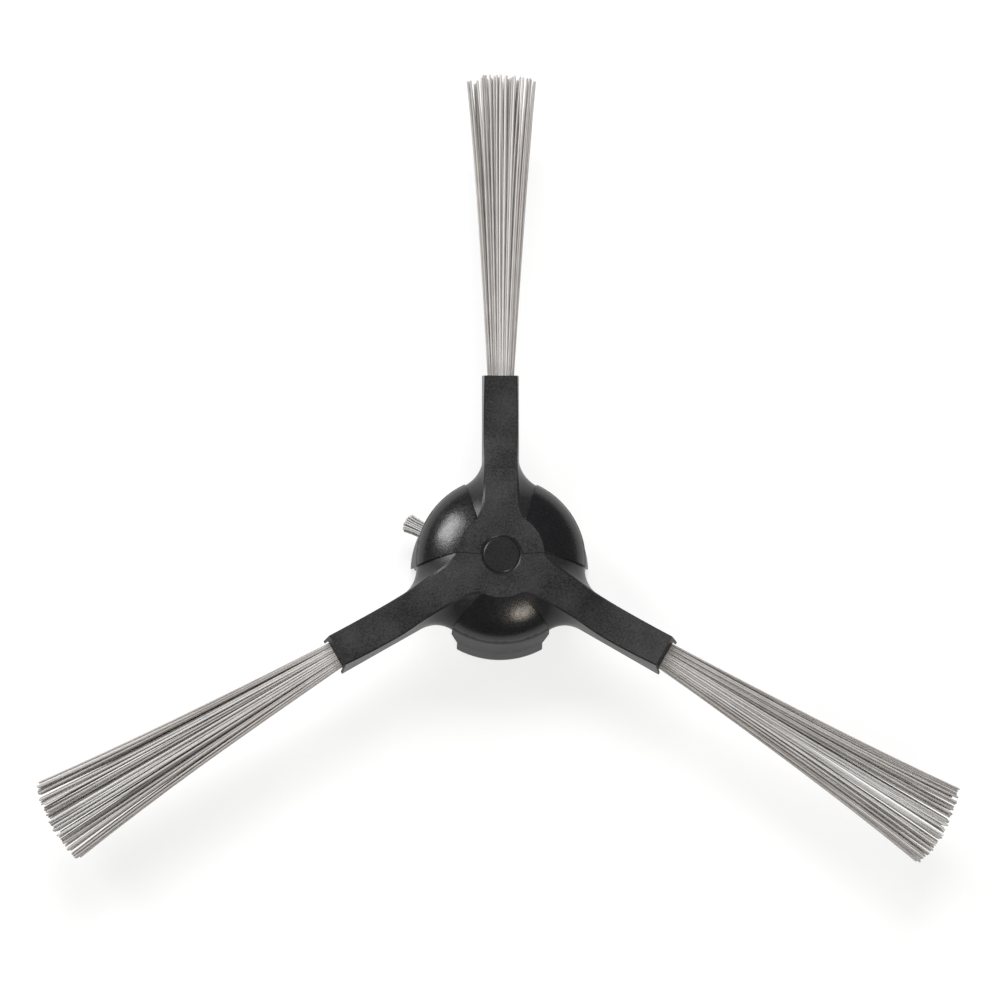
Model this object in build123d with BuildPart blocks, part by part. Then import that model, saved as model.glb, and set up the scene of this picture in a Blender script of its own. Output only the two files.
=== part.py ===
from build123d import *
import math
import os

# Side brush of a robot vacuum cleaner.
# One black moulding, a domed hub with three hooded arms, holds three long bristle tufts and a short one.
# A drive socket, pressed up through the hub, takes the motor shaft from below.
# Millimetres, +Z up. The origin is on the spin axis, in the plane of the skirt's rim.
# The crown is on top, the mouth of the socket is below, and the first arm points along +Y.

# Hub: crown, dome and skirt
hub_height = 18.0
crown_radius = 7.2
crown_thickness = 1.8
dome_radius = 14.4
dome_foot = 12.2
skirt_radius = 14.75
skirt_height = 3.2
rim_radius = 15.4
rim_edge = 0.7
wall = 1.0

# Lobes stand proud of the arm sectors, and the seams between them are angles from the arm's axis
lobe_rise = 0.1
sector_inset = 0.1
sector_drop = 0.6
sector_crown_inset = 0.6
seam_crown_angle = 33.4
seam_rim_angle = 25.4

# Arms
arm_count = 3
first_arm_angle = 90.0
arm_reach = 31.4
arm_half_width = 2.62
arm_foot = 7.0
arm_edge = 0.22
arm_draft = 4.0
arm_wall = 0.8
arm_plate = 1.0
arm_dip = 4.5
arm_low_point = 22.5
arm_end_rise = 1.7
arm_spare = 4.0
end_slant = 13.0
hood_wall = 0.45

# Fillets between the arms and the dome, wider towards the crown
root_fillet = 5.5
root_spread = 6.0
root_spread_power = 4
root_steps = 6
root_past = 3.0

# Arched notch in the skirt under each arm, which is also the underside of the arm
notch_half_foot = 8.2
notch_half_top = 5.8
notch_height = 9.9
notch_corner = 2.5
notch_start = 7.0
notch_run = 60.0

# How far a cut runs past the face that it opens
cut_past = 1.0

# Drive socket and the boss that it is pressed into
socket_radius = 3.05
socket_flats = 8.0
socket_mouth = 0.2
socket_shoulder = 14.6
socket_fit = 0.04
socket_edge_width = 0.28
socket_edge_depth = 0.14
bore_radius = 2.5
bore_depth = 11.0
bore_lead_in = 0.3
key_width = 1.4
key_reach = 3.2
boss_radius = 6.3
boss_foot = 1.0
rib_thickness = 1.0
rib_foot = 5.5

# Filament
filament_radius = 0.16
filament_sides = 6
filament_bury = 0.4

# Long tufts: the fused root, and the fan of filaments that leaves it
tuft_columns = 11
tuft_rows = 5
tuft_pitch = 0.38
tuft_row_pitch = 0.4
tuft_root_start = 20.0
tuft_root_end = 29.5
tuft_margin = 0.2
tuft_fit = 0.04
tuft_reach = 86.8
tuft_tip_drop = 0.7
tuft_tip_half_height = 1.6
tuft_tip_half_widths = (6.0, 7.1, 7.0)
tuft_tip_shifts = (-0.15, 1.3, -2.0)
tuft_unevenness = 1.2

# Short tuft, low on one lobe
short_angle = 154.0
short_columns = 8
short_rows = 3
short_pitch = 0.33
short_height = 4.4
short_root_start = 11.0
short_root_end = 13.7
short_reach = 18.3
short_tip_half_width = 1.55
short_tip_half_height = 0.55
short_wall = 0.9
short_unevenness = 0.4

os.makedirs("parts", exist_ok=True)

half_sector = 180 / arm_count
lobe_angle = first_arm_angle + half_sector
lobe_top = hub_height + lobe_rise
draft_slope = math.tan(math.radians(arm_draft))
socket_edge_angle = math.degrees(math.atan2(socket_edge_width, socket_edge_depth))
end_height = hub_height - arm_dip + arm_end_rise

# Dome of the arm sectors, a little inside the lobes
sector_radius = dome_radius - sector_inset
sector_foot = dome_foot - sector_drop
sector_crown = crown_radius - sector_crown_inset

# Pocket of a long tuft in its arm
tuft_half_width = tuft_pitch * (tuft_columns - 1) / 2 + tuft_margin
tuft_half_height = tuft_row_pitch * (tuft_rows - 1) / 2 + tuft_margin
pocket_roof = hub_height - arm_dip - arm_plate
tuft_level = pocket_roof - tuft_fit - tuft_half_height

# Pocket of the short tuft in its lobe
short_half_width = short_pitch * (short_columns - 1) / 2 + tuft_margin
short_half_height = short_pitch * (short_rows - 1) / 2 + tuft_margin


def polar(radius, angle):
    """A point on the plan, from its distance to the axis and its angle in degrees."""
    return Vector(radius * math.cos(math.radians(angle)), radius * math.sin(math.radians(angle)))


def across_arm(reach, angle=0.0):
    """The plane square to an arm at an angle: its own x is the arm's width and its own y is height."""
    return Plane(origin=polar(reach, angle), x_dir=polar(1, angle + 90), z_dir=polar(1, angle))


def beside_arm(angle, along, across, height):
    """A point given along an arm, across it and above the rim."""
    return polar(along, angle) + polar(across, angle + 90) + Vector(0, 0, height)


def dome_ellipse(radius, foot, edge, top):
    """Rise of the ellipse from a dome's upright foot to its upper edge, and its angle there in degrees."""
    turn = math.acos(edge / radius)
    return (top - foot) / math.sin(turn), math.degrees(turn)


def arm_half(height):
    """Half width of an arm at a height, with the draft of its sides."""
    return arm_half_width + (hub_height - height) * draft_slope


def plan_section(height):
    """Plan of the arm sectors at a height: the dome's circle, the drafted arms and the fillets between them."""
    rise = dome_ellipse(sector_radius, sector_foot, sector_crown, hub_height)[0]
    lift = max(height - sector_foot, 0) / rise
    share = (height - arm_foot) / (hub_height - arm_foot)
    with BuildSketch(Plane.XY.offset(height)) as section:
        with PolarLocations(0, 1, start_angle=first_arm_angle):
            Circle(sector_radius * math.sqrt(1 - lift**2))
        with PolarLocations(0, arm_count, start_angle=first_arm_angle):
            Rectangle(arm_reach + arm_spare, 2 * arm_half(height), align=(Align.MIN, Align.CENTER))
        corners = section.vertices().sort_by_distance((0, 0))[: 2 * arm_count]
        fillet(corners, root_fillet + root_spread * share**root_spread_power)
    return section.sketch


def arm_inside(reach, inset):
    """Cross-section of the space inside an arm, from the roof of the tuft's pocket down to the arm's foot."""
    roof_half = arm_half(pocket_roof) - inset
    foot_half = arm_half(arm_foot) - inset
    with BuildSketch(across_arm(reach)) as section:
        with BuildLine():
            Polyline(
                (-foot_half, arm_foot),
                (foot_half, arm_foot),
                (roof_half, pocket_roof),
                (-roof_half, pocket_roof),
                close=True,
            )
        make_face()
    return section.sketch


def filament(root, tip):
    """One straight filament, from inside a tuft's root to its tip."""
    run = tip - root
    with BuildPart() as strand:
        with BuildSketch(Plane(origin=root, z_dir=run)):
            RegularPolygon(filament_radius, filament_sides)
        extrude(amount=run.length)
    return strand.part


def fan(columns, rows):
    """Places of a tuft's filaments, each way from -1 to 1, with every other row set off by half a pitch."""
    for row in range(rows):
        up = 2 * row / (rows - 1) - 1
        for column in range(columns - row % 2):
            across = (2 * column + row % 2) / (columns - 1) - 1
            uneven = (3 * column + 2 * row) % 5 / 4
            yield across, up, uneven


# Sector of one lobe, along X, between its two seams
with BuildPart() as lobe_sector:
    crown_corner = polar(crown_radius, half_sector - seam_crown_angle)
    rim_corner = polar(dome_radius, half_sector - seam_rim_angle)
    outer_corner = rim_corner + (rim_corner - crown_corner)
    with BuildSketch():
        with BuildLine():
            Polyline(
                (0, 0),
                crown_corner,
                outer_corner,
                (outer_corner.X, -outer_corner.Y),
                (crown_corner.X, -crown_corner.Y),
                close=True,
            )
        make_face()
    extrude(amount=2 * hub_height)

# One lobe, along X: a full dome with the flared skirt, cut to its sector
with BuildPart() as lobe:
    with BuildSketch(Plane.XZ):
        with BuildLine():
            lobe_arch, lobe_turn = dome_ellipse(dome_radius, dome_foot, crown_radius, lobe_top)
            dome_arc = EllipticalCenterArc((0, dome_foot), dome_radius, lobe_arch, 0, arc_size=lobe_turn)
            Polyline(
                dome_arc @ 0,
                (skirt_radius, skirt_height),
                (rim_radius, rim_edge),
                (rim_radius, 0),
                (0, 0),
                (0, lobe_top),
                dome_arc @ 1,
            )
        make_face()
    revolve(axis=Axis.Z)
    add(lobe_sector.part, mode=Mode.INTERSECT)

# Arched space under one arm, along X
with BuildPart() as notch:
    spread = (notch_half_foot - notch_half_top) / notch_height
    low_half = notch_half_foot + spread * cut_past
    with BuildSketch(across_arm(notch_start)) as arch:
        with BuildLine():
            Polyline(
                (-low_half, -cut_past),
                (low_half, -cut_past),
                (notch_half_top, notch_height),
                (-notch_half_top, notch_height),
                close=True,
            )
        make_face()
        fillet(arch.vertices().group_by(Axis.Y)[-1], notch_corner)
    extrude(amount=notch_run)

# Space past the slanted end of one arm, along X
with BuildPart() as arm_end:
    slant = math.tan(math.radians(end_slant))
    beyond = arm_reach + 2 * arm_spare
    with BuildSketch(Plane.XZ):
        with BuildLine():
            Polyline(
                (arm_reach - (hub_height - end_height) * slant, hub_height),
                (arm_reach + (end_height - arm_foot) * slant, arm_foot),
                (beyond, arm_foot),
                (beyond, hub_height),
                close=True,
            )
        make_face()
    extrude(amount=2 * arm_half_width, both=True)

# Crown and arms in one: plan sections lofted upwards, and a dished top turned round the axis
with BuildPart() as arms:
    sector_arch, sector_turn = dome_ellipse(sector_radius, sector_foot, sector_crown, hub_height)
    levels = [arm_foot]
    for step in range(root_steps + 1):
        turn = math.radians((sector_turn + root_past) * step / root_steps)
        levels.append(sector_foot + sector_arch * math.sin(turn))
    loft([plan_section(level) for level in levels])
    with BuildSketch(Plane.XZ):
        with BuildLine():
            crown_line = Line((0, hub_height), (crown_radius, hub_height))
            end_slope = 2 * arm_end_rise / (arm_reach - arm_low_point)
            plate = Spline(
                crown_line @ 1,
                (arm_low_point, hub_height - arm_dip),
                (arm_reach, end_height),
                (arm_reach + arm_spare, end_height + arm_spare * end_slope),
                tangents=[(1, 0), (1, 0), (1, end_slope), (1, end_slope)],
            )
            clear = 2 * hub_height
            Polyline(plate @ 1, (arm_reach + 2 * arm_spare, clear), (0, clear), crown_line @ 0)
        make_face()
    revolve(axis=Axis.Z, mode=Mode.SUBTRACT)
    with PolarLocations(0, arm_count, start_angle=first_arm_angle):
        add(arm_end.part, mode=Mode.SUBTRACT)
    sides = []
    for face in arms.faces().filter_by(GeomType.REVOLUTION):
        for edge in face.edges():
            middle = edge @ 0.5
            if crown_radius + arm_edge < math.hypot(middle.X, middle.Y) < arm_reach - arm_edge:
                sides.append(edge)
    chamfer(sides, arm_edge)
    with PolarLocations(0, arm_count, start_angle=lobe_angle):
        add(lobe_sector.part, mode=Mode.SUBTRACT)

# Hollow of an arm's root, along X and open to the hollow of the hub
with BuildPart() as arm_hollow:
    extrude(arm_inside(boss_radius, arm_wall), amount=tuft_root_start - arm_wall - boss_radius)

# Pocket of a long tuft: a closed box for its root, then a hood that is open below and at the arm's end
with BuildPart() as tuft_pocket:
    with BuildSketch(across_arm(tuft_root_start)):
        with Locations((0, pocket_roof)):
            Rectangle(
                2 * (tuft_half_width + tuft_fit),
                2 * tuft_half_height + tuft_fit,
                align=(Align.CENTER, Align.MAX),
            )
    extrude(amount=arm_reach)
    extrude(arm_inside(tuft_root_end, hood_wall), amount=arm_reach)

# Pocket of the short tuft, along X, through the wall of its lobe
with BuildPart() as short_pocket:
    with BuildSketch(across_arm(short_root_start)):
        with Locations((0, short_height - short_half_height)):
            Rectangle(
                2 * (short_half_width + tuft_fit),
                2 * short_half_height + tuft_fit,
                align=(Align.CENTER, Align.MIN),
            )
    extrude(amount=rim_radius)

# Hollow of the hub, less its ribs and the walls of the short tuft's pocket
with BuildPart() as hub_hollow:
    with BuildSketch(Plane.XZ):
        with BuildLine():
            ceiling = hub_height - crown_thickness
            inner_radius = sector_radius - wall
            inner_arch, inner_turn = dome_ellipse(inner_radius, sector_foot, sector_crown, ceiling)
            inner_arc = EllipticalCenterArc((0, sector_foot), inner_radius, inner_arch, 0, arc_size=inner_turn)
            Polyline(
                inner_arc @ 0,
                (skirt_radius - wall, skirt_height),
                (rim_radius - wall, rim_edge),
                (rim_radius - wall, 0),
                (0, 0),
                (0, ceiling),
                inner_arc @ 1,
            )
        make_face()
    revolve(axis=Axis.Z)
    with BuildSketch(Plane.XY.offset(rib_foot)):
        with PolarLocations(0, arm_count, start_angle=lobe_angle):
            Rectangle(rim_radius, rib_thickness, align=(Align.MIN, Align.CENTER))
    extrude(amount=hub_height, mode=Mode.SUBTRACT)
    with BuildSketch(Plane.XY.offset(short_height - short_half_height - short_wall)):
        with PolarLocations(short_root_start - short_wall, 1, start_angle=short_angle):
            Rectangle(rim_radius, 2 * (short_half_width + short_wall), align=(Align.MIN, Align.CENTER))
    extrude(amount=2 * (short_half_height + short_wall), mode=Mode.SUBTRACT)

# Hub with its lobes, its arms and the boss round its axis
with BuildPart() as hub_body:
    add(arms.part)
    with PolarLocations(0, arm_count, start_angle=lobe_angle):
        add(lobe.part)
    add(hub_hollow.part, mode=Mode.SUBTRACT)
    with PolarLocations(0, arm_count, start_angle=first_arm_angle):
        add(arm_hollow.part, mode=Mode.SUBTRACT)
        add(notch.part, mode=Mode.SUBTRACT)
        add(tuft_pocket.part, mode=Mode.SUBTRACT)
    with PolarLocations(0, 1, start_angle=short_angle):
        add(short_pocket.part, mode=Mode.SUBTRACT)
    with BuildSketch(Plane.XY.offset(boss_foot)):
        Circle(boss_radius)
    extrude(amount=ceiling + cut_past - boss_foot)
    with BuildSketch():
        RegularPolygon(socket_flats / 2 + socket_fit, 6, major_radius=False)
    extrude(amount=socket_shoulder, mode=Mode.SUBTRACT)
    with BuildSketch(Plane.XY.offset(socket_shoulder)):
        Circle(socket_radius + socket_fit)
    extrude(amount=hub_height, mode=Mode.SUBTRACT)
    with BuildSketch(Plane.XY.offset(hub_height - socket_edge_depth)):
        Circle(socket_radius + socket_fit)
    extrude(amount=2 * socket_edge_depth, taper=-socket_edge_angle, mode=Mode.SUBTRACT)

hub_body.part.label = "hub_body"
export_step(hub_body.part, "parts/hub_body.step")

# Drive socket: a round end that is flush with the crown, a hexagonal body and a blind bore with two keyways
with BuildPart() as drive_socket:
    with BuildSketch(Plane.XY.offset(socket_mouth)):
        RegularPolygon(socket_flats / 2, 6, major_radius=False)
    extrude(amount=socket_shoulder - socket_mouth)
    with BuildSketch(Plane.XY.offset(socket_shoulder)):
        Circle(socket_radius)
    extrude(amount=hub_height - socket_edge_depth - socket_shoulder)
    with BuildSketch(Plane.XY.offset(hub_height - socket_edge_depth)):
        Circle(socket_radius)
    extrude(amount=socket_edge_depth, taper=socket_edge_angle)
    with BuildSketch(Plane.XY.offset(socket_mouth)):
        Circle(bore_radius)
        Rectangle(2 * key_reach, key_width)
    extrude(amount=bore_depth, mode=Mode.SUBTRACT)
    with BuildSketch(Plane.XY.offset(socket_mouth)):
        Circle(bore_radius + bore_lead_in)
    extrude(amount=bore_lead_in, taper=45, mode=Mode.SUBTRACT)

drive_socket.part.label = "drive_socket"
export_step(drive_socket.part, "parts/drive_socket.step")

# Long tufts, one in the end of each arm
for number, (tip_half_width, tip_shift) in enumerate(zip(tuft_tip_half_widths, tuft_tip_shifts)):
    arm_angle = first_arm_angle + number * 360 / arm_count
    filaments = []
    for across, up, uneven in fan(tuft_columns, tuft_rows):
        root_across = across * (tuft_half_width - tuft_margin)
        root_height = tuft_level + up * (tuft_half_height - tuft_margin)
        tip_along = tuft_reach - uneven * tuft_unevenness
        tip_height = tuft_level - tuft_tip_drop + up * tuft_tip_half_height
        root = beside_arm(arm_angle, tuft_root_end - filament_bury, root_across, root_height)
        tip = beside_arm(arm_angle, tip_along, across * tip_half_width + tip_shift, tip_height)
        filaments.append(filament(root, tip))
    with BuildPart() as tuft:
        with BuildSketch(across_arm(tuft_root_start, arm_angle)):
            with Locations((0, tuft_level)):
                Rectangle(2 * tuft_half_width, 2 * tuft_half_height)
        extrude(amount=tuft_root_end - tuft_root_start)
        add(filaments)
    tuft.part.label = f"bristle_tuft_{number + 1}"
    export_step(tuft.part, f"parts/bristle_tuft_{number + 1}.step")

# Short tuft, low on one lobe
filaments = []
for across, up, uneven in fan(short_columns, short_rows):
    root_across = across * (short_half_width - tuft_margin)
    root_height = short_height + up * (short_half_height - tuft_margin)
    tip_along = short_reach - uneven * short_unevenness
    tip_height = short_height + up * short_tip_half_height
    root = beside_arm(short_angle, short_root_end - filament_bury, root_across, root_height)
    tip = beside_arm(short_angle, tip_along, across * short_tip_half_width, tip_height)
    filaments.append(filament(root, tip))
with BuildPart() as short_tuft:
    with BuildSketch(across_arm(short_root_start, short_angle)):
        with Locations((0, short_height)):
            Rectangle(2 * short_half_width, 2 * short_half_height)
    extrude(amount=short_root_end - short_root_start)
    add(filaments)

short_tuft.part.label = "short_tuft"
export_step(short_tuft.part, "parts/short_tuft.step")
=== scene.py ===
import math
import random

import bpy
from mathutils import Euler, Matrix, Vector


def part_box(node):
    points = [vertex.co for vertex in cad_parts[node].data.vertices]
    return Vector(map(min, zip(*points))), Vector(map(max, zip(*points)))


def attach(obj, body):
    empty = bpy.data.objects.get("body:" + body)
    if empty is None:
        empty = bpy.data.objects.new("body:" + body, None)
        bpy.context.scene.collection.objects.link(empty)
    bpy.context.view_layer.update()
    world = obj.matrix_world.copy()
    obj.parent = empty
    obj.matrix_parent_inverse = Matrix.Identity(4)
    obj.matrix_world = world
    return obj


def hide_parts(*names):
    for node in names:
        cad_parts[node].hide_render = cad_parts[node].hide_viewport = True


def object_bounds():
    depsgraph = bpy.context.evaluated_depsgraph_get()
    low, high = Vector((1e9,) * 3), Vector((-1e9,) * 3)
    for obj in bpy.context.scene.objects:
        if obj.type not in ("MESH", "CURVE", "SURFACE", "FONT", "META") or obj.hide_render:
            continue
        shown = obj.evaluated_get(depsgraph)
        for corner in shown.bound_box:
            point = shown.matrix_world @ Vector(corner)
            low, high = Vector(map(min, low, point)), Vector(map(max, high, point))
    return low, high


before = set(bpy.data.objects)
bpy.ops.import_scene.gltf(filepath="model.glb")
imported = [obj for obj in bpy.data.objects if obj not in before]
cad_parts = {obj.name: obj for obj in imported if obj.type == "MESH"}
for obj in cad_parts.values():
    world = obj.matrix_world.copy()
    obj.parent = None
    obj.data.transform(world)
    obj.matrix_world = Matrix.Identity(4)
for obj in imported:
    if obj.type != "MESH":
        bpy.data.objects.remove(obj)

# Side brush of a robot vacuum cleaner, lying on its rim on a white floor.
# The hub, its arms and the drive socket are the CAD nodes with moulded-plastic finishes.
# The tufts are modelled here, filament by filament, in the place of the plain CAD tufts.

MM = 0.001
cad_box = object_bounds()

# Height of the crown, from the frame, and the direction of each tuft in degrees
crown_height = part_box("drive_socket")[1].z
arm_angles = {"bristle_tuft_1": 90.0, "bristle_tuft_2": 210.0, "bristle_tuft_3": 330.0}
short_angle = 154.0

# Hub, in metres. A seam between a lobe and an arm sector is given along and across the arm.
crown_radius = 7.2 * MM
seam_crown = (6.01 * MM, 3.96 * MM)
seam_rim = (13.01 * MM, 6.18 * MM)
edge_radius = 0.15 * MM

# Limits between the finishes: parts of a facet's normal, then places in metres
crown_lean = 0.9
plate_lean = 0.85
plate_side_lean = 0.12
skirt_lean = 0.42
end_lean = 0.5
bevel_lean_low = 0.5
bevel_lean_high = 0.95
rim_inside = 14.45 * MM
rim_top = 3.1 * MM
arm_end = 30.0 * MM
ring_outside = 3.6 * MM
ring_depth = 0.2 * MM

# Plastic: the tone is a blend of fine grain and broad clouds
cloud_size = 6 * MM
grain_share = 0.6
cloud_share = 0.4
tone_low = 0.3
tone_high = 0.7

# Nylon: the tone is a blend of a value for each filament and streaks
nylon_dark = (0.27, 0.255, 0.243, 1)
nylon_light = (0.45, 0.445, 0.44, 1)
streak_size = 3 * MM
each_share = 0.7
streak_share = 0.3

# Filaments
filament_sides = 8
filament_rings = 10
gap_half_width = 0.06
tuft_waist = 0.16
filament_radius = 0.19 * MM
thinnest = 0.88
thickest = 1.04
tip_turns = (30, 60, 85)
lean_jitter = 0.06
lift_jitter = 0.3
side_bend_spread = 0.006
up_bend_spread = 0.004
short_share = 0.7

# Floor and world
floor_size = 6.0
floor_white = (0.86, 0.86, 0.86, 1)
floor_glow = 0.75
world_grey = 0.15

# Camera: above the brush and a little towards its lower side
camera_lens = 90.0
camera_sensor = 36.0
camera_distance = 416.7 * MM
camera_tilt = math.radians(11.0)
camera_pan = math.radians(1.1)
camera_clip = 10 * MM
camera_offset = Vector((-0.23 * MM, 9.1 * MM, 0.0))


class Graph:
    """A material's node tree, with a short call for each kind of node that is used here."""

    def __init__(self, name):
        self.material = bpy.data.materials.new(name)
        self.material.use_nodes = True
        self.tree = self.material.node_tree
        self.tree.nodes.clear()
        self.output = self.add("ShaderNodeOutputMaterial")

    def add(self, kind, **settings):
        node = self.tree.nodes.new(kind)
        for key, value in settings.items():
            setattr(node, key, value)
        return node

    def put(self, socket, value):
        """Links another node's output to a socket, or sets the socket to a plain value."""
        if isinstance(value, bpy.types.NodeSocket):
            self.tree.links.new(value, socket)
        else:
            socket.default_value = value

    def math(self, operation, first, second=0.0):
        node = self.add("ShaderNodeMath", operation=operation)
        self.put(node.inputs[0], first)
        self.put(node.inputs[1], second)
        return node.outputs[0]

    def fade(self, value, low, high, to_low=0.0, to_high=1.0):
        """A smooth step from to_low to to_high while value goes from low to high."""
        node = self.add("ShaderNodeMapRange", interpolation_type="SMOOTHSTEP")
        for socket, given in zip(node.inputs, (value, low, high, to_low, to_high)):
            self.put(socket, given)
        return node.outputs[0]

    def mix(self, factor, first, second):
        """A colour between first and second."""
        node = self.add("ShaderNodeMix", data_type="RGBA")
        self.put(node.inputs["Factor"], factor)
        self.put(node.inputs[6], first)
        self.put(node.inputs[7], second)
        return node.outputs[2]

    def place(self):
        """Position on the object, in metres of the shared frame."""
        return self.add("ShaderNodeTexCoord").outputs["Object"]

    def noise(self, size, detail=2.0, roughness=0.5):
        """Noise whose features are about size across, from 0 to 1."""
        node = self.add("ShaderNodeTexNoise")
        self.put(node.inputs["Vector"], self.place())
        self.put(node.inputs["Scale"], 1.0 / size)
        self.put(node.inputs["Detail"], detail)
        self.put(node.inputs["Roughness"], roughness)
        return node.outputs["Fac"]

    def bump(self, height, depth, under=None):
        """A bump of the given depth, over another normal if there is one."""
        node = self.add("ShaderNodeBump")
        self.put(node.inputs["Strength"], 1.0)
        self.put(node.inputs["Distance"], depth)
        self.put(node.inputs["Height"], height)
        if under:
            self.put(node.inputs["Normal"], under)
        return node.outputs["Normal"]

    def surface(self, **sockets):
        """The principled shader with its named sockets set, as the material's surface."""
        shader = self.add("ShaderNodeBsdfPrincipled")
        for name, value in sockets.items():
            self.put(shader.inputs[name.replace("_", " ")], value)
        self.tree.links.new(shader.outputs["BSDF"], self.output.inputs["Surface"])
        return self.material


def grained_plastic(name, dark, light, grain_size, grain_depth, rough_low, rough_high, gloss):
    """Black moulded plastic with a spark-eroded grain and softly rounded edges."""
    graph = Graph(name)
    rounded = graph.add("ShaderNodeBevel", samples=6)
    graph.put(rounded.inputs["Radius"], edge_radius)
    grain = graph.noise(grain_size, detail=3.0, roughness=0.6)
    cloud = graph.noise(cloud_size, detail=3.0)
    fine = graph.math("MULTIPLY", grain, grain_share)
    broad = graph.math("MULTIPLY", cloud, cloud_share)
    tone = graph.math("ADD", fine, broad)
    colour = graph.mix(graph.fade(tone, tone_low, tone_high), dark, light)
    rough = graph.fade(tone, tone_low, tone_high, rough_low, rough_high)
    return graph.surface(
        Base_Color=colour,
        Roughness=rough,
        Specular_IOR_Level=gloss,
        Normal=graph.bump(grain, grain_depth, rounded.outputs["Normal"]),
    )


plate_finish = grained_plastic(
    "grained_black_plastic",
    dark=(0.008, 0.008, 0.009, 1),
    light=(0.038, 0.038, 0.039, 1),
    grain_size=0.3 * MM,
    grain_depth=0.03 * MM,
    rough_low=0.5,
    rough_high=0.66,
    gloss=0.3,
)
wall_finish = grained_plastic(
    "satin_black_plastic",
    dark=(0.01, 0.01, 0.011, 1),
    light=(0.018, 0.018, 0.019, 1),
    grain_size=0.5 * MM,
    grain_depth=0.006 * MM,
    rough_low=0.28,
    rough_high=0.38,
    gloss=0.28,
)
lobe_finish = grained_plastic(
    "glossy_black_plastic",
    dark=(0.004, 0.004, 0.005, 1),
    light=(0.008, 0.008, 0.009, 1),
    grain_size=0.5 * MM,
    grain_depth=0.016 * MM,
    rough_low=0.2,
    rough_high=0.3,
    gloss=0.5,
)
skirt_finish = grained_plastic(
    "dull_black_plastic",
    dark=(0.008, 0.008, 0.009, 1),
    light=(0.014, 0.014, 0.015, 1),
    grain_size=0.4 * MM,
    grain_depth=0.006 * MM,
    rough_low=0.45,
    rough_high=0.55,
    gloss=0.2,
)
socket_finish = grained_plastic(
    "dark_grained_plastic",
    dark=(0.006, 0.006, 0.007, 1),
    light=(0.02, 0.02, 0.021, 1),
    grain_size=0.3 * MM,
    grain_depth=0.03 * MM,
    rough_low=0.5,
    rough_high=0.66,
    gloss=0.25,
)


def nylon():
    """Grey nylon filament, each one a little lighter or darker than the next."""
    graph = Graph("grey_nylon")
    each = graph.add("ShaderNodeNewGeometry").outputs["Random Per Island"]
    streak = graph.noise(streak_size, detail=1.0)
    own = graph.math("MULTIPLY", each, each_share)
    along = graph.math("MULTIPLY", streak, streak_share)
    tone = graph.math("ADD", own, along)
    colour = graph.mix(graph.fade(tone, low=0.15, high=0.85), nylon_dark, nylon_light)
    rough = graph.fade(streak, low=0.3, high=0.7, to_low=0.34, to_high=0.48)
    return graph.surface(
        Base_Color=colour,
        Roughness=rough,
        IOR=1.53,
        Subsurface_Weight=0.35,
        Subsurface_Radius=(1.0, 0.95, 0.9),
        Subsurface_Scale=0.5 * MM,
    )


bristle_finish = nylon()

# Hub: each facet takes the finish of its zone
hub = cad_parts["hub_body"]
hub.data.materials.clear()
for finish in (plate_finish, wall_finish, lobe_finish, skirt_finish):
    hub.data.materials.append(finish)
seam_slope = (seam_rim[1] - seam_crown[1]) / (seam_rim[0] - seam_crown[0])


def on_ring_bevel(centre, normal):
    """True for the slanted facets at the top of the drive socket and of its hole."""
    return centre.z > crown_height - ring_depth and bevel_lean_low < normal.z < bevel_lean_high


def zone(centre, normal):
    """Number of a facet's finish: 0 crown and plates, 1 walls, flares, rim and ring, 2 lobes, 3 the rest."""
    radius = math.hypot(centre.x, centre.y)
    if radius < ring_outside and on_ring_bevel(centre, normal):
        return 1
    if radius < crown_radius and normal.z > crown_lean:
        return 0
    for angle in arm_angles.values():
        turn = Matrix.Rotation(-math.radians(angle), 3, "Z")
        place = turn @ centre
        edge = seam_crown[1] + (place.x - seam_crown[0]) * seam_slope
        if place.x > 0 and abs(place.y) < edge:
            if place.x > arm_end and (turn @ normal).x > end_lean:
                return 3
            on_plate = normal.z > plate_lean and abs((turn @ normal).y) < plate_side_lean
            return 0 if on_plate else 1
    if radius > rim_inside and centre.z < rim_top:
        return 1
    return 2 if normal.z > skirt_lean else 3


for face in hub.data.polygons:
    face.material_index = zone(face.center, face.normal)

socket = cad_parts["drive_socket"]
socket.data.materials.clear()
for finish in (socket_finish, wall_finish):
    socket.data.materials.append(finish)
for face in socket.data.polygons:
    face.material_index = 1 if on_ring_bevel(face.center, face.normal) else 0


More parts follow.
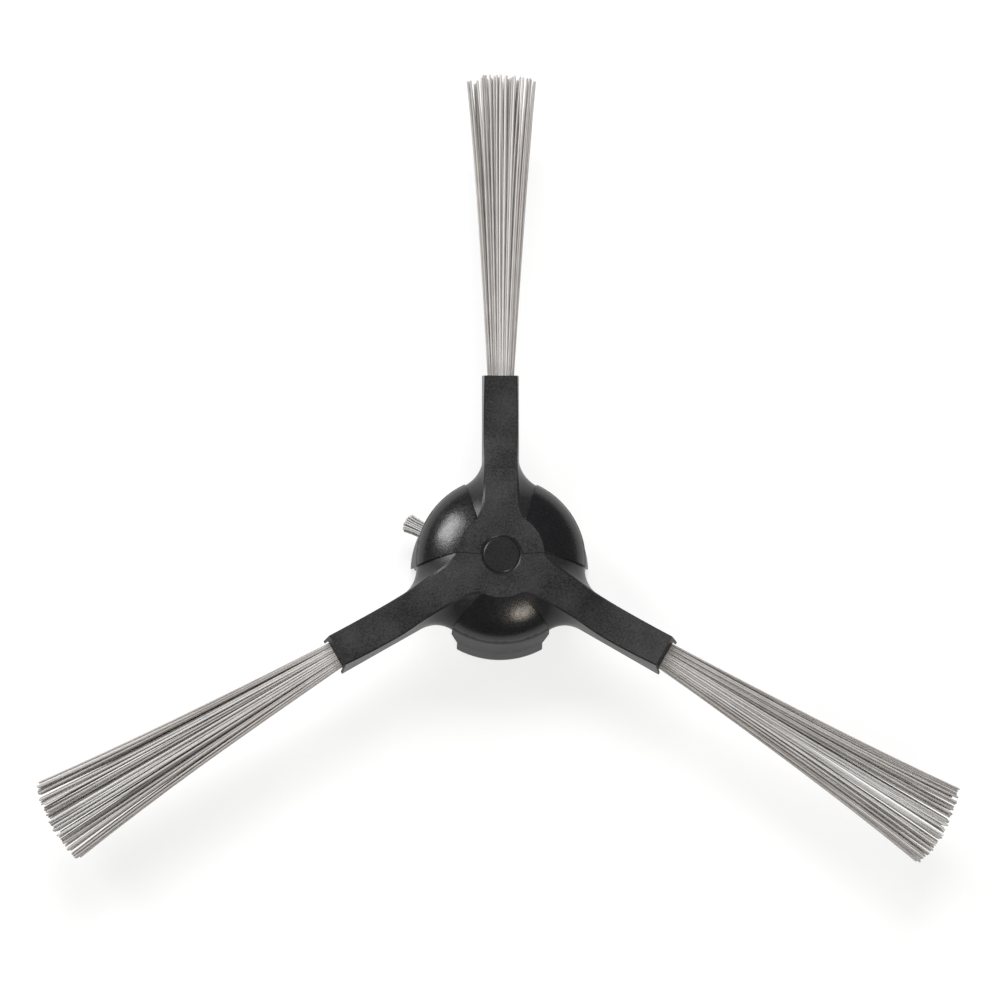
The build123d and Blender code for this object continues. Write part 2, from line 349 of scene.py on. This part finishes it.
class Tuft:
    """One mesh of bent filaments and the fused block at their root, in the frame of its arm."""

    def __init__(self, name, angle, seed):
        self.name = name
        self.turn = Matrix.Rotation(math.radians(angle), 3, "Z")
        self.chance = random.Random(seed)
        self.points = []
        self.faces = []

    def block(self, start, end, half_width, level, half_height):
        first = len(self.points)
        for along in (start, end):
            for across, up in ((-1, -1), (1, -1), (1, 1), (-1, 1)):
                self.points.append(Vector((along, across * half_width, level + up * half_height)))
        for ring in ((3, 2, 1, 0), (4, 5, 6, 7), (0, 1, 5, 4), (1, 2, 6, 5), (2, 3, 7, 6), (3, 0, 4, 7)):
            self.faces.append([first + corner for corner in ring])

    def filament(self, path, radius):
        """A tube along a list of points, with a rounded tip."""
        run = (path[-1] - path[-2]).normalized()
        rings = [(point, radius) for point in path]
        for turn in tip_turns:
            along = run * radius * math.sin(math.radians(turn))
            rings.append((path[-1] + along, radius * math.cos(math.radians(turn))))
        first = len(self.points)
        for point, size in rings:
            for side in range(filament_sides):
                around = 2 * math.pi * side / filament_sides
                self.points.append(point + Vector((0, math.cos(around), math.sin(around))) * size)
        for ring in range(len(rings) - 1):
            low = first + ring * filament_sides
            for side in range(filament_sides):
                other = (side + 1) % filament_sides
                self.faces.append(
                    [low + side, low + other, low + filament_sides + other, low + filament_sides + side]
                )
        last = first + (len(rings) - 1) * filament_sides
        self.faces.append([last + side for side in range(filament_sides)])

    def finish(self):
        mesh = bpy.data.meshes.new(self.name)
        mesh.from_pydata([self.turn @ point for point in self.points], [], self.faces)
        mesh.polygons.foreach_set("use_smooth", [True] * len(mesh.polygons))
        mesh.materials.append(bristle_finish)
        piece = bpy.data.objects.new(self.name + "_filaments", mesh)
        bpy.context.scene.collection.objects.link(piece)
        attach(piece, "root")
        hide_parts(self.name)


def fan(tuft, columns, rows, root, tip, gaps=()):
    """Fills a tuft with filaments that spread from a root to a tip, and part at the gaps.

    The root and the tip are (along, half width, sideways shift, level, half height, unevenness).
    A gap is a share of the tip's half width.
    """
    chance = tuft.chance
    for row in range(rows):
        up = 2 * row / (rows - 1) - 1
        for column in range(columns):
            across = 2 * (column + 0.5 * (row % 2)) / (columns - 0.5) - 1
            lean = max(-1.0, min(1.0, across + chance.uniform(-lean_jitter, lean_jitter)))
            for gap in gaps:
                if abs(lean - gap) < gap_half_width:
                    lean = gap + math.copysign(gap_half_width, lean - gap)
            lift = max(-1.0, min(1.0, up + chance.uniform(-lift_jitter, lift_jitter)))
            short = tip[5] * (short_share * chance.random() ** 2 + lean * lean)
            start = Vector((root[0], across * root[1] + root[2], root[3] + up * root[4]))
            end = Vector((tip[0] - short, lean * tip[1] + tip[2], tip[3] + lift * tip[4]))
            side_bend = chance.gauss(0, side_bend_spread) * (end.x - start.x)
            up_bend = chance.gauss(0, up_bend_spread) * (end.x - start.x)
            waist = tuft_waist * lean * tip[1]
            path = []
            for step in range(filament_rings):
                share = step / (filament_rings - 1)
                bow = share * (1 - share) * (1 + share)
                path.append(start.lerp(end, share) + Vector((0, (side_bend - waist) * bow, up_bend * bow)))
            tuft.filament(path, filament_radius * chance.uniform(thinnest, thickest))


# Long tufts, in metres along, across and above: the root block in the arm, then the fan
tuft_level = 11.46 * MM
long_columns = 13
long_rows = 6
long_root = (29.2 * MM, 1.92 * MM, 0.0, tuft_level, 0.8 * MM, 0.0)
long_tips = {
    "bristle_tuft_1": (86.6 * MM, 5.9 * MM, -0.15 * MM, tuft_level - 0.7 * MM, 1.5 * MM, 1.1 * MM),
    "bristle_tuft_2": (86.6 * MM, 7.0 * MM, 1.3 * MM, tuft_level - 0.7 * MM, 1.5 * MM, 1.1 * MM),
    "bristle_tuft_3": (86.6 * MM, 6.9 * MM, -2.0 * MM, tuft_level - 0.7 * MM, 1.5 * MM, 1.1 * MM),
}
tip_gaps = {
    "bristle_tuft_1": (-0.71, 0.65, 0.86),
    "bristle_tuft_2": (-0.72, 0.78),
    "bristle_tuft_3": (-0.66, 0.76),
}
for seed, (name, tip) in enumerate(long_tips.items()):
    tuft = Tuft(name, arm_angles[name], seed)
    tuft.block(
        start=20 * MM,
        end=29.5 * MM,
        half_width=2.1 * MM,
        level=tuft_level,
        half_height=1.0 * MM,
    )
    fan(tuft, long_columns, long_rows, long_root, tip, tip_gaps[name])
    tuft.finish()

# Short tuft, low on one lobe
short_tuft = Tuft("short_tuft", short_angle, seed=5)
short_level = 4.4 * MM
short_columns = 7
short_rows = 3
short_root = (13.4 * MM, 1.15 * MM, 0.0, short_level, 0.33 * MM, 0.0)
short_tip = (18.2 * MM, 1.5 * MM, 0.0, short_level, 0.5 * MM, 0.5 * MM)
short_tuft.block(
    start=11 * MM,
    end=13.7 * MM,
    half_width=1.35 * MM,
    level=short_level,
    half_height=0.53 * MM,
)
fan(short_tuft, short_columns, short_rows, short_root, short_tip)
short_tuft.finish()


# Floor, light and camera
def make_floor():
    """A white floor: the camera sees it lit from within too, which keeps its shadows faint."""
    bpy.ops.mesh.primitive_plane_add(size=floor_size, location=(0, 0, cad_box[0].z))
    floor = bpy.context.object
    floor.name = "floor"
    graph = Graph("white_floor")
    matte = graph.add("ShaderNodeBsdfDiffuse")
    graph.put(matte.inputs["Color"], floor_white)
    glow = graph.add("ShaderNodeEmission")
    seen = graph.add("ShaderNodeLightPath")
    direct = graph.math("MAXIMUM", seen.outputs["Is Camera Ray"], seen.outputs["Is Glossy Ray"])
    direct = graph.math("MAXIMUM", direct, seen.outputs["Is Transmission Ray"])
    both = graph.add("ShaderNodeMixShader")
    graph.put(both.inputs[0], graph.math("MULTIPLY", direct, floor_glow))
    graph.put(both.inputs[1], matte.outputs[0])
    graph.put(both.inputs[2], glow.outputs[0])
    graph.put(graph.output.inputs["Surface"], both.outputs[0])
    floor.data.materials.append(graph.material)


def area_light(name, azimuth, elevation, distance, width, height, power, colour, mirrored=True):
    """A soft box that faces the hub. Glossy surfaces mirror it unless mirrored is off."""
    light = bpy.data.lights.new(name, "AREA")
    light.shape = "RECTANGLE"
    light.size = width
    light.size_y = height
    light.energy = power
    light.color = colour
    lamp = bpy.data.objects.new(name, light)
    bpy.context.scene.collection.objects.link(lamp)
    around = math.radians(azimuth)
    up = math.radians(elevation)
    away = Vector((math.cos(around) * math.cos(up), math.sin(around) * math.cos(up), math.sin(up)))
    lamp.location = away * distance
    lamp.visible_glossy = mirrored
    lamp.rotation_euler = away.to_track_quat("Z", "Y").to_euler()


def make_world(grey):
    """Plain grey light from all round."""
    world = bpy.data.worlds.new("studio")
    bpy.context.scene.world = world
    world.use_nodes = True
    background = world.node_tree.nodes["Background"]
    background.inputs["Color"].default_value = (1, 1, 1, 1)
    background.inputs["Strength"].default_value = grey


def make_camera():
    data = bpy.data.cameras.new("camera")
    data.lens = camera_lens
    data.sensor_width = camera_sensor
    data.clip_start = camera_clip
    camera = bpy.data.objects.new("camera", data)
    bpy.context.scene.collection.objects.link(camera)
    turn = Euler((camera_tilt, -camera_pan, 0.0))
    camera.rotation_euler = turn
    crown = Vector((0, 0, crown_height))
    camera.location = crown + turn.to_matrix() @ (camera_offset + Vector((0, 0, camera_distance)))
    bpy.context.scene.camera = camera


make_floor()
make_world(world_grey)
area_light(
    "key",
    azimuth=90,
    elevation=44,
    distance=0.8,
    width=0.5,
    height=0.35,
    power=7.5,
    colour=(1.0, 0.99, 0.98),
    mirrored=False,
)
area_light(
    "fill",
    azimuth=-90,
    elevation=50,
    distance=0.8,
    width=0.6,
    height=0.5,
    power=2.0,
    colour=(1.0, 1.0, 1.0),
    mirrored=False,
)
area_light(
    "left",
    azimuth=142,
    elevation=37,
    distance=0.7,
    width=0.25,
    height=0.25,
    power=2.6,
    colour=(1.0, 1.0, 1.0),
)
area_light(
    "warm",
    azimuth=-64,
    elevation=46,
    distance=0.7,
    width=0.16,
    height=0.16,
    power=1.0,
    colour=(1.0, 0.9, 0.78),
)
make_camera()
bpy.context.scene.view_settings.view_transform = "Standard"
